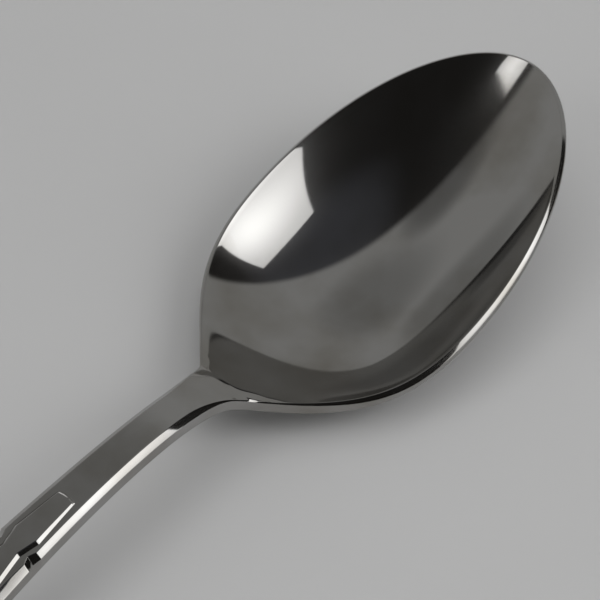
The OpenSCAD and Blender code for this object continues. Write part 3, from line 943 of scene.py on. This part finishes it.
class SPOON_OT_stage(SpoonOperator, bpy.types.Operator):
    """Build the table, the surroundings, the softboxes and the camera"""

    bl_idname = "spoon.stage"
    bl_label = "Stage"

    LOOK_AT = Vector((54.81 * MM, 7.12 * MM, 0.20 * MM))
    SENSOR_WIDTH = 36
    CLIP_START = 10 * MM

    TABLE_SIZE = 8.0
    TABLE_DROP = 0.05 * MM
    TABLE_ROUGH = 0.6
    MOTTLE_SIZE = 30 * MM
    MOTTLE_DARK = 0.96

    # A place in the sky is an azimuth and an elevation in degrees. A span is the cosines of the angles from
    # a place at which a tone begins and is full. A fold of the backdrop has a place, a span and a strength.
    BACKDROP_PLACE = (59.2, 0)
    BACKDROP_SPAN = (0.062, 0.132)
    FOLDS = (
        ((64, 56), (0.9, 0.995), 0.6),
        ((134, 61), (0.965, 0.997), 1.0),
        ((80, 20), (0.955, 0.995), 0.55),
    )
    CEILING_PLACE = (-45, 75)
    CEILING_SPAN = (0.84, 0.97)
    WALL_PLACE = (-165, 0)
    WALL_SPAN = (0.766, 0.88)

    # Corners of a softbox are places in the sky, up the side of lesser azimuth and down the other. Its hot
    # spot has a place and a size across and up the card, as shares of it, and EDGE_GLOW is left far from it.
    KEY_CORNERS = ((-89.5, 6), (-82.6, 58.6), (-36.8, 53.9), (-57.5, 6))
    KEY_HOT = (0.56, 0.64)
    SIDE_CORNERS = ((149, 10), (145, 50.2), (165.2, 52.9), (187, 10))
    SIDE_HOT = (0.5, 0.95)
    HOT_SIZE = (0.5, 0.22)
    EDGE_GLOW = 0.5
    CARD_POINTS = 33
    TOP_SIZE = 1.5

    def execute(self, context):
        look = context.scene.spoon_stage
        self.make_table(look)
        self.make_surroundings(context.scene, look)
        softboxes = (
            ("key_softbox", self.KEY_CORNERS, self.KEY_HOT, look.key_glow, look.key_watts),
            ("side_softbox", self.SIDE_CORNERS, self.SIDE_HOT, look.side_glow, look.side_watts),
        )
        for softbox in softboxes:
            self.make_softbox(*softbox, look.lamp_distance)
        above = self.LOOK_AT + Vector((0, 0, look.lamp_distance))
        self.make_lamp("top_lamp", above, self.TOP_SIZE, self.TOP_SIZE, look.top_watts)
        self.make_camera(context.scene, look)
        context.scene.view_settings.view_transform = "Standard"
        return {"FINISHED"}

    def make_table(self, look):
        """Matt pale laminate: the eye gets an even tone with a faint mottle and no mirror image."""
        material, tree, output = new_material("laminate_matt_pale")
        place = add(tree, "ShaderNodeTexCoord").outputs["Object"]
        mottle = add(
            tree, "ShaderNodeTexNoise", {"Vector": place, "Scale": 1 / self.MOTTLE_SIZE, "Detail": 3.0}
        )
        darker = [c * self.MOTTLE_DARK for c in look.table]
        tint = add(
            tree,
            "ShaderNodeMix",
            {"Factor": mottle.outputs["Fac"], "A": (*darker, 1), "B": (*look.table, 1)},
            data_type="RGBA",
        )
        matt = add(
            tree,
            "ShaderNodeBsdfPrincipled",
            {"Base Color": tint.outputs["Result"], "Roughness": self.TABLE_ROUGH},
        )
        tree.links.new(matt.outputs["BSDF"], output.inputs["Surface"])
        half = self.TABLE_SIZE / 2
        corners = [(-half, -half, 0), (half, -half, 0), (half, half, 0), (-half, half, 0)]
        mesh = bpy.data.meshes.new("table")
        mesh.from_pydata(corners, [], [(0, 1, 2, 3)])
        mesh.materials.append(material)
        table = bpy.data.objects.new("table", mesh)
        table.location.z = -self.TABLE_DROP
        bpy.context.scene.collection.objects.link(table)

    def make_surroundings(self, scene, look):
        """A pale backdrop with dim folds beyond the spoon, and a dark room with ceiling and pale wall."""
        world = bpy.data.worlds.new("studio")
        world.use_nodes = True
        tree = world.node_tree
        tree.nodes.clear()
        direction = add(tree, "ShaderNodeTexCoord").outputs["Generated"]

        def near(place, span, most=1.0):
            """A share that grows to the most as a direction comes near a place in the sky."""
            cosine = add(
                tree,
                "ShaderNodeVectorMath",
                {0: direction, 1: tuple(towards_sky(*place))},
                operation="DOT_PRODUCT",
            )
            share = add(
                tree,
                "ShaderNodeMapRange",
                {"Value": cosine.outputs["Value"], "From Min": span[0], "From Max": span[1], "To Max": most},
                interpolation_type="SMOOTHSTEP",
            )
            return share.outputs["Result"]

        def blend(share, a, b):
            mixed = add(tree, "ShaderNodeMix", {"Factor": share, "A": a, "B": b}, data_type="RGBA")
            return mixed.outputs["Result"]

        dark = blend(near(self.CEILING_PLACE, self.CEILING_SPAN), (*look.room, 1), (*look.ceiling, 1))
        dark = blend(near(self.WALL_PLACE, self.WALL_SPAN), dark, (*look.wall, 1))
        pale = (*look.backdrop, 1)
        for fold in self.FOLDS:
            pale = blend(near(*fold), pale, (*look.backdrop_dim, 1))
        tone = blend(near(self.BACKDROP_PLACE, self.BACKDROP_SPAN), dark, pale)
        sky = add(tree, "ShaderNodeBackground", {"Color": tone, "Strength": 1.0})
        output = add(tree, "ShaderNodeOutputWorld", {"Surface": sky.outputs["Background"]})
        output.is_active_output = True
        scene.world = world

    def make_softbox(self, name, corners, hot, glow, watts, distance):
        """A card of glowing diffuser cloth with four corners in the sky, and a lamp in its place."""
        low_a, high_a, high_b, low_b = (
            np.array(self.LOOK_AT) + distance * towards_sky(*corner) for corner in corners
        )
        steps = np.linspace(0, 1, self.CARD_POINTS)
        low = np.array([mix(low_a, low_b, x) for x in steps])
        high = np.array([mix(high_a, high_b, x) for x in steps])
        grid = np.array([mix(low, high, y) for y in steps])
        across, up = (((steps - middle) / size) ** 2 for middle, size in zip(hot, self.HOT_SIZE))
        fade = np.exp(-(up[:, None] + across[None]))
        material, tree, output = new_material(name + "_diffuser")
        bright = add(tree, "ShaderNodeAttribute", attribute_name="glow").outputs["Fac"]
        light = add(tree, "ShaderNodeEmission", {"Color": (1, 1, 1, 1), "Strength": bright})
        tree.links.new(light.outputs["Emission"], output.inputs["Surface"])
        cells = quads(self.CARD_POINTS, self.CARD_POINTS, closed=False)
        mesh = bpy.data.meshes.new(name)
        mesh.from_pydata(grid.reshape(-1, 3).tolist(), [], cells.tolist())
        values = mesh.attributes.new("glow", "FLOAT", "POINT")
        values.data.foreach_set("value", (glow * mix(self.EDGE_GLOW, 1, fade)).reshape(-1))
        mesh.materials.append(material)
        card = bpy.data.objects.new(name, mesh)
        bpy.context.scene.collection.objects.link(card)
        middle = Vector(grid.mean(axis=(0, 1)))
        width, height = np.linalg.norm(low_b - low_a), np.linalg.norm(high_a - low_a)
        self.make_lamp(name + "_lamp", middle, width, height, watts)

    def make_lamp(self, name, place, width, height, watts):
        """A soft lamp that faces the spoon and lights the table; no reflection shows it."""
        lamp = bpy.data.lights.new(name, "AREA")
        lamp.shape = "RECTANGLE"
        lamp.size = width
        lamp.size_y = height
        lamp.energy = watts
        holder = bpy.data.objects.new(name, lamp)
        holder.location = place
        holder.rotation_mode = "QUATERNION"
        holder.rotation_quaternion = (self.LOOK_AT - place).to_track_quat("-Z", "Y")
        holder.visible_glossy = False
        bpy.context.scene.collection.objects.link(holder)

    def make_camera(self, scene, look):
        """The camera looks at the bowl from above the handle's near side."""
        a, e = look.camera_azimuth, look.camera_elevation
        back = Vector((math.sin(a) * math.cos(e), -math.cos(a) * math.cos(e), math.sin(e)))
        camera = bpy.data.objects.new("camera", bpy.data.cameras.new("camera"))
        camera.data.sensor_width = self.SENSOR_WIDTH
        camera.data.lens = look.camera_lens
        camera.data.clip_start = self.CLIP_START
        camera.location = self.LOOK_AT + back * look.camera_distance
        camera.rotation_mode = "QUATERNION"
        camera.rotation_quaternion = (-back).to_track_quat("-Z", "Y")
        scene.collection.objects.link(camera)
        scene.camera = camera


OPERATORS = (SPOON_OT_bowl, SPOON_OT_neck, SPOON_OT_stem, SPOON_OT_terminal, SPOON_OT_panel, SPOON_OT_stage)


class SPOON_PT_sidebar(bpy.types.Panel):
    """Lists the spoon's pieces and the stage"""

    bl_idname = "SPOON_PT_sidebar"
    bl_label = "Soup spoon"
    bl_space_type = "VIEW_3D"
    bl_region_type = "UI"
    bl_category = "Spoon"

    def draw(self, context):
        for operator in OPERATORS:
            self.layout.operator(operator.bl_idname)


CLASSES = (SpoonSizes, SteelLook, StageLook, *OPERATORS, SPOON_PT_sidebar)


def register():
    for cls in CLASSES:
        bpy.utils.register_class(cls)
    bpy.types.Scene.spoon_sizes = bpy.props.PointerProperty(type=SpoonSizes)
    bpy.types.Scene.spoon_steel = bpy.props.PointerProperty(type=SteelLook)
    bpy.types.Scene.spoon_stage = bpy.props.PointerProperty(type=StageLook)


def unregister():
    del bpy.types.Scene.spoon_stage
    del bpy.types.Scene.spoon_steel
    del bpy.types.Scene.spoon_sizes
    for cls in reversed(CLASSES):
        bpy.utils.unregister_class(cls)


def main():
    register()
    bpy.ops.spoon.stage()
    bpy.ops.spoon.bowl()
    bpy.ops.spoon.neck()
    bpy.ops.spoon.stem()
    bpy.ops.spoon.terminal()
    bpy.ops.spoon.panel()


if __name__ == "__main__":
    main()
